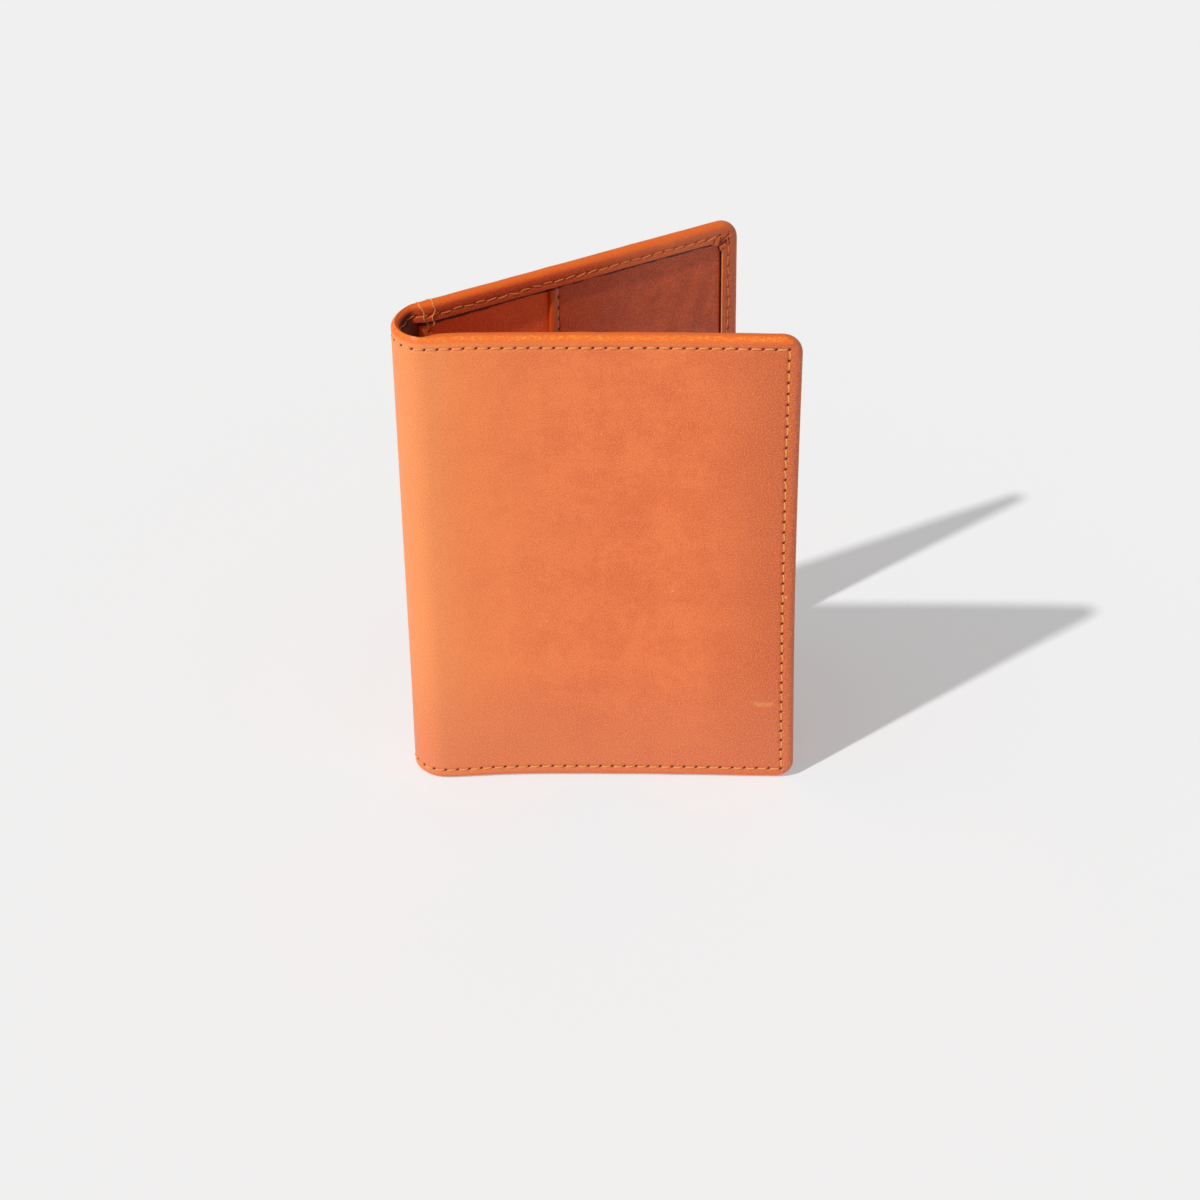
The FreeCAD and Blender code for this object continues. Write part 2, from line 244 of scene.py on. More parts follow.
def lay_and_fix(name, bm, side, material, slot, *nodes, bends=True, ripple=None):
    """Lays a flat mesh on its panel, makes it an object, and fixes a piece that doesn't bend to its panel's
    body.
    """
    place = bm.verts.layers.float_vector.new("flat_mm")
    for vertex in bm.verts:
        vertex[place] = vertex.co
        if ripple:
            vertex.co.y += ripple(*vertex.co)
        vertex.co = on_panel(side, *vertex.co)
    if side == "rear":
        bmesh.ops.reverse_faces(bm, faces=bm.faces)
    mesh = bpy.data.meshes.new(name)
    bm.to_mesh(mesh)
    bm.free()
    mesh.polygons.foreach_set("use_smooth", [True] * len(mesh.polygons))
    mesh.set_sharp_from_angle(angle=math.radians(42))
    for layer in material if isinstance(material, (list, tuple)) else [material]:
        mesh.materials.append(layer)
    piece = bpy.data.objects.new(name, mesh)
    bpy.context.scene.collection.objects.link(piece)
    if bends:
        panel_end = on_panel(side, 0, 0, 0)
        fold_end = on_panel(side, -HALF_FOLD, 0, 0)
        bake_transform(piece)
    else:
        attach(piece, f"{side}_panel")
    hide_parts(*nodes)


def cut_across(bm, normal, places):
    """Cuts the whole mesh at each place along an axis, which gives it rows to bend in."""
    for place in places:
        geometry = bm.verts[:] + bm.edges[:] + bm.faces[:]
        bmesh.ops.bisect_plane(bm, geom=geometry, plane_co=Vector(normal) * place, plane_no=normal)


def slab(x_range, y_range, z_range):
    """A flat block between three pairs of limits."""
    bm = bmesh.new()
    bmesh.ops.create_cube(bm, size=1.0)
    ranges = (x_range, y_range, z_range)
    bmesh.ops.scale(bm, vec=[high - low for low, high in ranges], verts=bm.verts)
    bmesh.ops.translate(bm, vec=[(high + low) / 2 for low, high in ranges], verts=bm.verts)
    return bm


def round_edges(bm, edges, radius, segments):
    """Rounds sharp edges to a radius."""
    bmesh.ops.bevel(
        bm,
        geom=edges,
        offset=radius,
        segments=segments,
        profile=0.5,
        affect="EDGES",
        material=-1,
        clamp_overlap=False,
    )


def flat_hide():
    """Half of the hide, flat: outer face, rolled edges, turned-in border and pressed seam lines."""
    bm = slab((-HALF_FOLD, PANEL_WIDTH), (0, THICKNESS), (0, HEIGHT))
    free = [e for e in bm.edges if all(v.co.x > PANEL_WIDTH - 0.1 for v in e.verts)]
    corners = [e for e in free if abs(e.verts[0].co.z - e.verts[1].co.z) < 0.1]
    round_edges(bm, corners, CORNER, 24)
    end = [f for f in bm.faces if all(v.co.x < 0.1 - HALF_FOLD for v in f.verts)]
    bmesh.ops.delete(bm, geom=end, context="FACES_ONLY")
    flat = [e for e in bm.edges if abs(e.verts[0].co.y - e.verts[1].co.y) < 0.1]
    round_edges(bm, [e for e in flat if len(e.link_faces) == 2], ROLL, 7)
    for level in (0, THICKNESS):
        faces = [f for f in bm.faces if all(abs(v.co.y - level) < 1e-3 for v in f.verts)]
        face = max(faces, key=lambda f: f.calc_area())
        reached = ROLL
        for ring in (*SEAM_RINGS, BORDER):
            step = ring - reached
            bmesh.ops.inset_region(bm, faces=[face], thickness=step, use_even_offset=True, use_boundary=False)
            reached = ring
        if level:
            bmesh.ops.delete(bm, geom=[face], context="FACES")
    rows = [SEAM_INSET + PITCH_UP / 3 * i for i in range(2, 3 * STITCHES_UP - 1)]
    cut_across(bm, (0, 0, 1), [z for z in rows if CORNER < z < HEIGHT - CORNER])
    columns = [PITCH_ACROSS / 3 * i for i in range(3 * STITCHES_ACROSS)]
    cut_across(bm, (1, 0, 0), [x for x in columns if x < PANEL_WIDTH - CORNER])
    cut_across(bm, (1, 0, 0), [-HALF_FOLD * math.sin(math.pi / 2 * i / 30) for i in range(1, 30)])
    gathered = [CORNER + 0.27 * i for i in range(1, 12)]
    cut_across(bm, (1, 0, 0), [PANEL_WIDTH - inset for inset in gathered])
    cut_across(bm, (0, 0, 1), gathered + [HEIGHT - inset for inset in gathered])
    return bm


def seam_position(x, z):
    """Distance across the nearest leg of the perimeter seam, and distance along it in stitches."""
    row = min(abs(z - SEAM_INSET), abs(z - HEIGHT + SEAM_INSET))
    column = abs(x - SEAM_END)
    if row < column:
        return row, x / (PITCH_ACROSS if x > 0 else PITCH_FOLD)
    return column, (z - SEAM_INSET) / PITCH_UP


def press_seam(x, y, z):
    """The leather pressed in along the seam, and deeper at each needle hole."""
    if LEATHER < y < THICKNESS - LEATHER or min(z, HEIGHT - z, PANEL_WIDTH - x) < ROLL + 0.5:
        return 0.0
    across, stitch = seam_position(x, z)
    nearness = 1 - ease(across, 0.1, 0.8)
    hole = 1 - min(abs(stitch - round(stitch)) * 4, 1.0)
    pressed = nearness * (0.10 + 0.16 * hole)
    return pressed if y < LEATHER + 0.1 else -pressed


def from_corner(x, z):
    """How far a point lies beyond the centre of the nearest free corner's round, across and up."""
    return x - (PANEL_WIDTH - CORNER), abs(z - HEIGHT / 2) - (HEIGHT / 2 - CORNER)


# Each pleat is given by where it starts from the corner's centre, its heading in degrees, its
# length and its depth.  Seven fan out from the centre, and two more lie a little way off.
draw = random.Random(5)
pleats = [
    (0.1, 0.1, -22 + 22 * i + draw.uniform(-5, 5), draw.uniform(1.7, 3.1), draw.uniform(0.6, 1))
    for i in range(7)
]
pleats += [(-2.4, 0.0, 74, 1.9, 0.8), (0.0, -2.1, 18, 1.6, 0.6)]


def gather_corner(x, y, z):
    """How deep the turned-in border is pleated where it is gathered round a free corner."""
    out_x, out_z = from_corner(x, z)
    if y < INSIDE or min(out_x, out_z) < -3.2:
        return 0.0
    deepest = 0.8 * math.exp(-((math.hypot(out_x - 0.1, out_z - 0.1) / 0.45) ** 2))
    for start_x, start_z, angle, length, depth in pleats:
        heading = math.radians(angle)
        run = (out_x - start_x) * math.cos(heading) + (out_z - start_z) * math.sin(heading)
        off = (out_z - start_z) * math.cos(heading) - (out_x - start_x) * math.sin(heading)
        ends = ease(run, -0.1, 0.5) * (1 - ease(run, length - 0.9, length))
        deepest = max(deepest, depth * ends * math.exp(-((off / (0.16 + 0.05 * max(run, 0))) ** 2)))
    return deepest


def draw_in_corner(x, y, z):
    """How far the gathered leather spreads towards the window at its corner."""
    out_x, out_z = from_corner(x, z)
    if y < INSIDE:
        return 0.0
    beyond = math.hypot(max(out_x, 0), max(out_z, 0))
    return 1.25 * max(1 - math.hypot(out_x, out_z) / 3.4, 0) * (1 - ease(beyond, 0.0, 1.7))


def gather_swell(x, y, z):
    """How the leather stands up between the pleats."""
    out_x, out_z = from_corner(x, z)
    if y < INSIDE:
        return 0.0
    return 0.22 * math.exp(-(((out_x - 1) / 2.2) ** 2) - ((out_z - 1) / 2.2) ** 2)


def make_group(name, inputs, outputs):
    """An empty node group with named sockets, and its two end nodes."""
    group = bpy.data.node_groups.new(name, "ShaderNodeTree")
    kinds = {"value": "NodeSocketFloat", "vector": "NodeSocketVector"}
    for label, kind in inputs:
        group.interface.new_socket(label, in_out="INPUT", socket_type=kinds[kind])
    for label, kind in outputs:
        group.interface.new_socket(label, in_out="OUTPUT", socket_type=kinds[kind])
    return group, group.nodes.new("NodeGroupInput").outputs, group.nodes.new("NodeGroupOutput").inputs


def place_group(tree, group, inputs):
    """Puts a node group into a material with its own values."""
    made = tree.nodes.new("ShaderNodeGroup")
    made.node_tree = group
    for name, value in inputs.items():
        if isinstance(value, bpy.types.NodeSocket):
            tree.links.new(value, made.inputs[name])
        else:
            made.inputs[name].default_value = value
    return made.outputs


def math_node(tree, operation, *values, clamp=False):
    """One arithmetic step on values or links."""
    made = tree.nodes.new("ShaderNodeMath")
    made.operation = operation
    made.use_clamp = clamp
    for socket, value in zip(made.inputs, values):
        if isinstance(value, bpy.types.NodeSocket):
            tree.links.new(value, socket)
        else:
            socket.default_value = value
    return made.outputs[0]


def away_from(tree, value, level):
    """How far a value is from a level, on either side."""
    return math_node(tree, "ABSOLUTE", math_node(tree, "SUBTRACT", value, level))


def outside_of(tree, mask):
    """The part that a mask leaves out."""
    return math_node(tree, "SUBTRACT", 1.0, mask)


def step_up(tree, value, low, high):
    """A mask that goes smoothly from 0 at low to 1 at high, whichever of the two is larger."""
    made = add(tree, "ShaderNodeMapRange", {"Value": value, "From Min": low, "From Max": high})
    made.interpolation_type = "SMOOTHSTEP"
    return made.outputs["Result"]


def blend_colour(tree, amount, first, second):
    """A colour between two, by a mask."""
    made = add(tree, "ShaderNodeMix", data_type="RGBA")
    for socket, value in ((made.inputs[0], amount), (made.inputs[6], first), (made.inputs[7], second)):
        if isinstance(value, bpy.types.NodeSocket):
            tree.links.new(value, socket)
        else:
            socket.default_value = (*value, 1)
    return made.outputs[2]


def tint(tree, colour, mask, strength, towards):
    """Takes a colour part of the way to another one, where the mask is."""
    return blend_colour(tree, math_node(tree, "MULTIPLY", mask, strength), colour, towards)


def clouds(tree, place, scale, detail, roughness):
    """A cloudy pattern that wanders between 0 and 1."""
    inputs = {"Vector": place, "Scale": scale, "Detail": detail, "Roughness": roughness}
    return add(tree, "ShaderNodeTexNoise", inputs).outputs["Fac"]


def cells(tree, place, scale):
    """The distance to the nearest of many scattered points."""
    inputs = {"Vector": place, "Scale": scale, "Randomness": 1.0}
    return add(tree, "ShaderNodeTexVoronoi", inputs, feature="F1").outputs["Distance"]


def start_material(name, mapped="flat_mm"):
    """A new material, its nodes and shader, and where each point lies on the flat piece, in mm."""
    material = bpy.data.materials.new(name)
    material.use_nodes = True
    tree = material.node_tree
    place = add(tree, "ShaderNodeAttribute", attribute_name=mapped).outputs["Vector"]
    return material, tree, tree.nodes["Principled BSDF"], place


def raise_grain(tree, shader, height, strength, distance):
    """Relief too fine to model.  The distance is in metres."""
    bump = add(tree, "ShaderNodeBump", {"Height": height, "Strength": strength, "Distance": distance})
    tree.links.new(bump.outputs["Normal"], shader.inputs["Normal"])


def leather_grain_group():
    """Fine pores, pulled grain and mottling of vegetable-tanned leather."""
    tree, given, result = make_group(
        "leather_grain",
        [("Place", "vector"), ("Pore Size", "value"), ("Pull", "value")],
        [("Height", "value"), ("Mottle", "value"), ("Speckle", "value"), ("Grit", "value")],
    )
    place = given["Place"]
    size = math_node(tree, "DIVIDE", 1.0, given["Pore Size"])
    wide = clouds(tree, place, 0.07, 4.0, 0.62)
    patch = clouds(tree, place, 0.38, 3.0, 0.55)
    pits = math_node(tree, "MULTIPLY", step_up(tree, cells(tree, place, size), 0.05, 0.55), 0.5)
    height = math_node(tree, "MULTIPLY", clouds(tree, place, size, 3.0, 0.6), 0.7)
    height = math_node(tree, "ADD", height, pits)
    pulled = math_node(tree, "MULTIPLY", patch, given["Pull"])
    tree.links.new(math_node(tree, "ADD", height, pulled), result["Height"])
    mottle = math_node(tree, "MULTIPLY_ADD", patch, 0.35, math_node(tree, "MULTIPLY", wide, 0.65))
    tree.links.new(step_up(tree, mottle, 0.36, 0.64), result["Mottle"])
    speckle = clouds(tree, place, 2.4, 3.0, 0.75)
    tree.links.new(step_up(tree, speckle, 0.46, 0.58), result["Speckle"])
    grit = clouds(tree, place, 3.2, 2.0, 0.7)
    tree.links.new(step_up(tree, grit, 0.50, 0.62), result["Grit"])
    return tree


HOLE_LENGTH = 0.60
HOLE_WIDTH = 0.38
HOLE_SLANT = 0.75


def needle_hole_group():
    """The slanted slits left by the needle along a seam, which are painted dark as shade, and the dent round
    each.
    """
    tree, given, result = make_group(
        "needle_holes",
        [("Along", "value"), ("Across", "value"), ("Pitch", "value")],
        [("Hole", "value"), ("Dent", "value")],
    )
    steps = math_node(tree, "DIVIDE", given["Along"], given["Pitch"])
    nearest = math_node(tree, "SUBTRACT", steps, math_node(tree, "ROUND", steps))
    gap = math_node(tree, "MULTIPLY", nearest, given["Pitch"])
    with_slant = math_node(tree, "MULTIPLY_ADD", given["Across"], HOLE_SLANT, gap)
    against = math_node(tree, "MULTIPLY_ADD", gap, -HOLE_SLANT, given["Across"])
    long_way = math_node(tree, "DIVIDE", with_slant, HOLE_LENGTH)
    short_way = math_node(tree, "DIVIDE", against, HOLE_WIDTH)
    square = math_node(tree, "MULTIPLY", short_way, short_way)
    spread = math_node(tree, "SQRT", math_node(tree, "MULTIPLY_ADD", long_way, long_way, square))
    tree.links.new(outside_of(tree, step_up(tree, spread, 0.6, 1.15)), result["Hole"])
    tree.links.new(outside_of(tree, step_up(tree, spread, 0.4, 2.4)), result["Dent"])
    return tree


leather_grain = leather_grain_group()
needle_holes = needle_hole_group()


def perimeter_holes(tree, x, z):
    """Needle holes of the perimeter seam on a panel and round the fold."""
    top = math_node(tree, "SUBTRACT", z, HEIGHT - SEAM_INSET)
    bottom = math_node(tree, "SUBTRACT", z, SEAM_INSET)
    upper = math_node(tree, "GREATER_THAN", z, HEIGHT / 2)
    row = add(tree, "ShaderNodeMix", {0: upper, 2: bottom, 3: top}, data_type="FLOAT").outputs[0]
    past_fold = math_node(tree, "GREATER_THAN", x, 0.0)
    pitches = {0: past_fold, 2: PITCH_FOLD, 3: PITCH_ACROSS}
    pitch = add(tree, "ShaderNodeMix", pitches, data_type="FLOAT").outputs[0]
    rows = place_group(tree, needle_holes, {"Along": x, "Across": row, "Pitch": pitch})
    before_end = math_node(tree, "LESS_THAN", x, SEAM_END + 1.0)
    side = math_node(tree, "SUBTRACT", x, SEAM_END)
    column = place_group(tree, needle_holes, {"Along": bottom, "Across": side, "Pitch": PITCH_UP})
    seam_reach = HEIGHT / 2 - SEAM_INSET + 0.8
    within = math_node(tree, "LESS_THAN", away_from(tree, z, HEIGHT / 2), seam_reach)
    masks = []
    for name in ("Hole", "Dent"):
        in_rows = math_node(tree, "MULTIPLY", rows[name], before_end)
        in_column = math_node(tree, "MULTIPLY", column[name], within)
        masks.append(math_node(tree, "MAXIMUM", in_rows, in_column))
    return masks


TAN = {
    "dark": (0.74, 0.140, 0.034),
    "light": (0.86, 0.195, 0.052),
    "painted_spine_haze": (0.93, 0.275, 0.075),
    "darker_at_free_edge": (0.54, 0.095, 0.028),
    "painted_inner_shade": (0.54, 0.042, 0.004),
    "painted_spine_sheen": (0.90, 0.36, 0.13),
    "painted_foot_reflection": (0.66, 0.16, 0.074),
    "pale grain": (1.0, 0.31, 0.105),
    "deep grain": (0.50, 0.075, 0.016),
    "burnished": (0.84, 0.128, 0.005),
    "rubbed": (1.0, 0.35, 0.03),
    "fleck": (0.95, 0.48, 0.28),
    "in the fold": (0.09, 0.014, 0.005),
    "scuff": (0.95, 0.42, 0.16),
    "speck": (0.95, 0.50, 0.26),
    "dent": (0.50, 0.085, 0.018),
    "needle hole": (0.075, 0.008, 0.003),
    "pleat": (0.060, 0.010, 0.005),
}
SCUFF_PLACE = 86.0
SCUFF_LEVEL = 25.2
SCUFF_BEND = 0.06


def scuff_mask(tree, x, y, z):
    """A short curved scuff on the outside, low down near the free edge."""
    from_middle = math_node(tree, "SUBTRACT", x, SCUFF_PLACE)
    curve = math_node(tree, "MULTIPLY", from_middle, math_node(tree, "MULTIPLY", from_middle, SCUFF_BEND))
    off_line = away_from(tree, math_node(tree, "SUBTRACT", z, SCUFF_LEVEL), curve)
    line = step_up(tree, off_line, 1.3, 0.1)
    length = step_up(tree, math_node(tree, "ABSOLUTE", from_middle), 3.6, 1.6)
    outer = math_node(tree, "LESS_THAN", y, 1.0)
    return math_node(tree, "MULTIPLY", math_node(tree, "MULTIPLY", line, length), outer)


def hide_material(name, scuff_strength):
    """Orange-tan leather: mottled, burnished on the rolled edges, darker towards the free edge, with painted
    sheen and shade.
    """
    material, tree, shader, place = start_material(name)
    axes = add(tree, "ShaderNodeSeparateXYZ", {"Vector": place}).outputs
    x, y, z = axes["X"], axes["Y"], axes["Z"]
    grain = place_group(tree, leather_grain, {"Place": place, "Pore Size": 0.34, "Pull": 0.25})

    # Where the leather is: on the inside, near an edge, round the rolled edge, inside the fold.
    inner = math_node(tree, "GREATER_THAN", y, THICKNESS / 2)
    flank = math_node(tree, "SUBTRACT", HEIGHT / 2, away_from(tree, z, HEIGHT / 2))
    from_free_edge = math_node(tree, "SUBTRACT", PANEL_WIDTH, x)
    edge = math_node(tree, "MINIMUM", flank, from_free_edge)
    rolled = math_node(tree, "MULTIPLY_ADD", inner, 0.75, flank)
    burnished = outside_of(tree, step_up(tree, rolled, 0.7, 2.0))
    # Painted shade: the inside near the fold turns deep red-brown, fading out towards the free edge.
    painted_inner_shade = math_node(tree, "MULTIPLY", inner, outside_of(tree, step_up(tree, x, 30.0, 84.0)))
    painted_fold_shade = math_node(tree, "MULTIPLY", inner, outside_of(tree, step_up(tree, x, -3.0, 0.5)))
    painted_fold_shade = math_node(tree, "MULTIPLY", painted_fold_shade, step_up(tree, edge, 0.9, 2.0))

    # The colour: mottled, with a painted haze towards the spine, darker towards the free edge, and painted
    # shade on the inside near the fold.
    colour = blend_colour(tree, grain["Mottle"], TAN["dark"], TAN["light"])
    # Painted sheen: the hide turns paler towards the spine, where its haze of reflected light lies.
    painted_spine_haze = outside_of(tree, step_up(tree, x, -8.0, 46.0))
    colour = tint(tree, colour, painted_spine_haze, 0.65, TAN["painted_spine_haze"])
    # Darker towards the free edge.
    darker_at_free_edge = step_up(tree, x, PANEL_WIDTH * 0.66, PANEL_WIDTH * 1.02)
    colour = tint(tree, colour, darker_at_free_edge, 0.95, TAN["darker_at_free_edge"])
    colour = tint(tree, colour, painted_inner_shade, 0.95, TAN["painted_inner_shade"])
    # Painted sheen: a pale band on the outside round the back of the fold.
    painted_spine_sheen = outside_of(tree, step_up(tree, x, -6.0, 11.0))
    painted_spine_sheen = math_node(tree, "MULTIPLY", painted_spine_sheen, outside_of(tree, inner))
    colour = tint(tree, colour, painted_spine_sheen, 0.45, TAN["painted_spine_sheen"])
    # Painted floor reflection: darker and paler towards the foot.
    painted_foot_reflection = outside_of(tree, step_up(tree, z, 4.0, 46.0))
    colour = tint(tree, colour, painted_foot_reflection, 0.60, TAN["painted_foot_reflection"])

    # The grain shows less on the inside.
    lit = math_node(tree, "MULTIPLY_ADD", inner, -0.55, 1.0)
    pale = math_node(tree, "MULTIPLY", grain["Speckle"], math_node(tree, "MULTIPLY", lit, 0.44))
    colour = blend_colour(tree, pale, colour, TAN["pale grain"])
    deep = math_node(tree, "MULTIPLY", grain["Grit"], math_node(tree, "MULTIPLY", lit, 0.42))
    colour = blend_colour(tree, deep, colour, TAN["deep grain"])

    # The rolled edges are burnished, and rubbed in streaks along their crest, where a painted highlight lies
    # as well.
    colour = blend_colour(tree, burnished, colour, TAN["burnished"])
    stretched = add(tree, "ShaderNodeMapping", {"Vector": place, "Scale": (1.1, 2.6, 2.6)}).outputs[0]
    streaks = step_up(tree, clouds(tree, stretched, 1.0, 4.0, 0.7), 0.40, 0.68)
    streaked = math_node(tree, "MULTIPLY", burnished, streaks)
    # Painted highlight: the rubbed streaks are strongest along the crest of the roll.
    painted_crest_highlight = step_up(tree, away_from(tree, y, 0.7), 1.0, 0.1)
    painted_crest_highlight = math_node(tree, "MULTIPLY_ADD", painted_crest_highlight, 0.75, 0.20)
    rubbed = math_node(tree, "MULTIPLY", streaked, painted_crest_highlight, clamp=True)
    colour = blend_colour(tree, rubbed, colour, TAN["rubbed"])
    flecks = math_node(tree, "MULTIPLY", step_up(tree, from_free_edge, 1.4, 0.2), grain["Grit"])
    colour = tint(tree, colour, flecks, 0.14, TAN["fleck"])
    # Painted shade: near black inside the fold, away from the edges.
    colour = tint(tree, colour, painted_fold_shade, 0.95, TAN["in the fold"])

    # Marks: the scuff, stray specks and the seam's dents, with painted shade in the needle holes and in the
    # corner pleats.
    colour = tint(tree, colour, scuff_mask(tree, x, y, z), scuff_strength, TAN["scuff"])
    speck = outside_of(tree, step_up(tree, cells(tree, place, 0.075), 0.018, 0.04))
    colour = tint(tree, colour, speck, 0.5, TAN["speck"])
    hole, dent = perimeter_holes(tree, x, z)
    # Painted shade: the needle holes are dark, less so on the inside.
    hole = math_node(tree, "MULTIPLY", hole, math_node(tree, "MULTIPLY_ADD", inner, -0.70, 1.0))
    colour = tint(tree, colour, dent, 0.35, TAN["dent"])
    colour = blend_colour(tree, hole, colour, TAN["needle hole"])
    # Painted shade in the creases of the corner pleats.
    pleat = add(tree, "ShaderNodeAttribute", attribute_name="crease").outputs["Fac"]
    colour = blend_colour(tree, math_node(tree, "POWER", pleat, 2.0), colour, TAN["pleat"])
    tree.links.new(colour, shader.inputs["Base Color"])

    # The shine: waxed on the burnished edges, dull in the holes, in the fold and where sheltered.
    roughness = math_node(tree, "MULTIPLY_ADD", grain["Mottle"], 0.08, 0.46)
    roughness = math_node(tree, "MULTIPLY_ADD", burnished, -0.10, roughness)
    dull = math_node(tree, "MAXIMUM", hole, painted_fold_shade)
    dull = math_node(tree, "MAXIMUM", dull, math_node(tree, "MULTIPLY", painted_inner_shade, 0.8))
    tree.links.new(math_node(tree, "MULTIPLY_ADD", dull, 0.45, roughness), shader.inputs["Roughness"])
    tree.links.new(math_node(tree, "MULTIPLY", burnished, 0.12), shader.inputs["Coat Weight"])
    shader.inputs["Coat Roughness"].default_value = 0.25
    shader.inputs["Specular IOR Level"].default_value = 0.36
    height = math_node(tree, "MULTIPLY_ADD", dent, -2.2, grain["Height"])
    height = math_node(tree, "MULTIPLY_ADD", streaked, 1.2, height)
    raise_grain(tree, shader, height, 0.7, 0.0001)
    return material


def cut_edge_material():
    """The raw cut edge of the leather: pale, fibrous and dry near the border's face, with painted shade
    further down it.
    """
    material, tree, shader, place = start_material("raw_cut_edge")
    fibres = clouds(tree, place, 4.0, 4.0, 0.7)
    mask = step_up(tree, fibres, 0.35, 0.65)
    colour = blend_colour(tree, mask, (0.95, 0.27, 0.06), (1.0, 0.42, 0.13))
    depth = add(tree, "ShaderNodeSeparateXYZ", {"Vector": place}).outputs["Y"]
    depth = math_node(tree, "MULTIPLY_ADD", fibres, 0.25, depth)
    # Painted shade: the cut edge is dark below a thin strip at the border's face.
    painted_lower_shade = step_up(tree, depth, THICKNESS - 0.30, THICKNESS - 0.45)
    colour = blend_colour(tree, painted_lower_shade, colour, (0.16, 0.022, 0.006))
    tree.links.new(colour, shader.inputs["Base Color"])
    shader.inputs["Roughness"].default_value = 0.9
    shader.inputs["Specular IOR Level"].default_value = 0.2
    raise_grain(tree, shader, fibres, 0.6, 0.0002)
    return material


tan_hide = {"front": hide_material("tan_hide_front", 0.27), "rear": hide_material("tan_hide_rear", 0.0)}
raw_edge = cut_edge_material()
for side in ("front", "rear"):
    bm = flat_hide()
    crease = bm.verts.layers.float.new("crease")
    for vertex in bm.verts:
        vertex[crease] = gather_corner(*vertex.co)
        spread = draw_in_corner(*vertex.co)
        vertex.co.y += press_seam(*vertex.co) + gather_swell(*vertex.co) - 0.5 * vertex[crease]
        vertex.co.x -= spread
        vertex.co.z += spread if vertex.co.z < HEIGHT / 2 else -spread
    bmesh.ops.recalc_face_normals(bm, faces=bm.faces)
    bmesh.ops.solidify(bm, geom=bm.faces[:], thickness=LEATHER)
    for face in bm.faces:
        middle = face.calc_center_median()
        from_edge = min(middle.z, HEIGHT - middle.z, PANEL_WIDTH - middle.x)
        stands = abs(face.normal.y) < 0.3 and middle.y > THICKNESS / 2
        face.material_index = int(stands and from_edge > BORDER - 0.25)
    nodes = ["front_cover", "fold_cover"] if side == "front" else ["rear_cover"]
    lay_and_fix(f"{side}_hide", bm, side, [tan_hide[side], raw_edge], "cover_leather", *nodes)


# Boards and linings.  A thin grey board stiffens each panel inside the hide.  A thin brown
# leather lining is pasted behind the pockets and runs on round the inside of the fold.
BOARD = 0.4
LINING = 0.15
ROW = 4


def lining_material():
    """Thin brown skiver leather, matt, with a pressed cross grain."""
    material, tree, shader, place = start_material("brown_lining")
    grain = place_group(tree, leather_grain, {"Place": place, "Pore Size": 0.3, "Pull": 0.5})
    colour = blend_colour(tree, grain["Mottle"], (0.20, 0.040, 0.015), (0.28, 0.060, 0.022))
    colour = tint(tree, colour, grain["Speckle"], 0.2, (0.42, 0.13, 0.06))
    tree.links.new(colour, shader.inputs["Base Color"])
    roughness = math_node(tree, "MULTIPLY_ADD", grain["Mottle"], 0.12, 0.62)
    tree.links.new(roughness, shader.inputs["Roughness"])
    shader.inputs["Specular IOR Level"].default_value = 0.3
    raise_grain(tree, shader, grain["Height"], 0.4, 0.0001)
    return material


def board_material():
    """Grey-brown pressed board with short fibres."""
    material, tree, shader, place = start_material("pressed_board")
    fibres = clouds(tree, place, 1.2, 5.0, 0.75)
    mask = step_up(tree, fibres, 0.35, 0.65)
    colour = blend_colour(tree, mask, (0.20, 0.17, 0.14), (0.34, 0.30, 0.25))
    tree.links.new(colour, shader.inputs["Base Color"])
    shader.inputs["Roughness"].default_value = 0.95
    raise_grain(tree, shader, fibres, 0.5, 0.0002)
    return material


def span(node, low_at=None):
    """The flat limits of a front-panel node along the panel and up it."""
    low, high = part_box(node)
    start = (low.x - front_low.x) / MM if low_at is None else low_at
    return (start, (high.x - front_low.x) / MM), (low.z / MM, high.z / MM)


brown_lining = lining_material()
pressed_board = board_material()
for side in ("front", "rear"):
    across, upright_span = span("front_board")
    bm = slab(across, (LEATHER, LEATHER + BOARD), upright_span)
    cut_across(bm, (1, 0, 0), [ROW * i for i in range(1, 23)])
    cut_across(bm, (0, 0, 1), [ROW * i for i in range(1, 35)])
    lay_and_fix(f"{side}_stiffener", bm, side, pressed_board, "board", f"{side}_board", bends=False)
    across, upright_span = span("front_pocket_lining", low_at=-HALF_FOLD)
    bm = slab(across, (LEATHER + BOARD, LEATHER + BOARD + LINING), upright_span)
    cut_across(bm, (1, 0, 0), [-HALF_FOLD * i / 30 for i in range(1, 30)] + [i * 0.75 for i in range(8)])
    cut_across(bm, (1, 0, 0), [ROW * i for i in range(2, 23)])
    cut_across(bm, (0, 0, 1), [ROW * i for i in range(1, 35)])
    nodes = ["front_pocket_lining", "fold_lining"] if side == "front" else ["rear_pocket_lining"]
    lay_and_fix(f"{side}_lining_sheet", bm, side, brown_lining, "lining", *nodes)


# Pockets.  Two leather pockets lie on each lining: a full-width slip pocket, and a shorter card
# pocket on top.  Each mouth is a turned hem, pressed flat and stitched.  Their other three edges
# are trapped under the turned-in border.
POCKET_LEATHER = 0.45
HEM = 0.3
HEM_WIDTH = 5.0
LIP_ROUND = 0.32
LIP_PUFF = 0.27
LIP_SEAM_INSET = 2.5
LIP_SEAM_START = 5.6
LIP_STITCHES = 40
PITCH_LIP = (HEIGHT - 2 * LIP_SEAM_START) / LIP_STITCHES
LIP_ROWS = (0.7, 1.1, 1.5, 1.9, 2.2, LIP_SEAM_INSET, 2.8, 3.1, 3.6, 4.2)
slip_span, slip_upright = span("front_slip_pocket")
card_span, card_upright = span("front_card_pocket")
SLIP_TOP = LEATHER + BOARD + LINING + HEM + POCKET_LEATHER
CARD_TOP = SLIP_TOP + HEM + POCKET_LEATHER


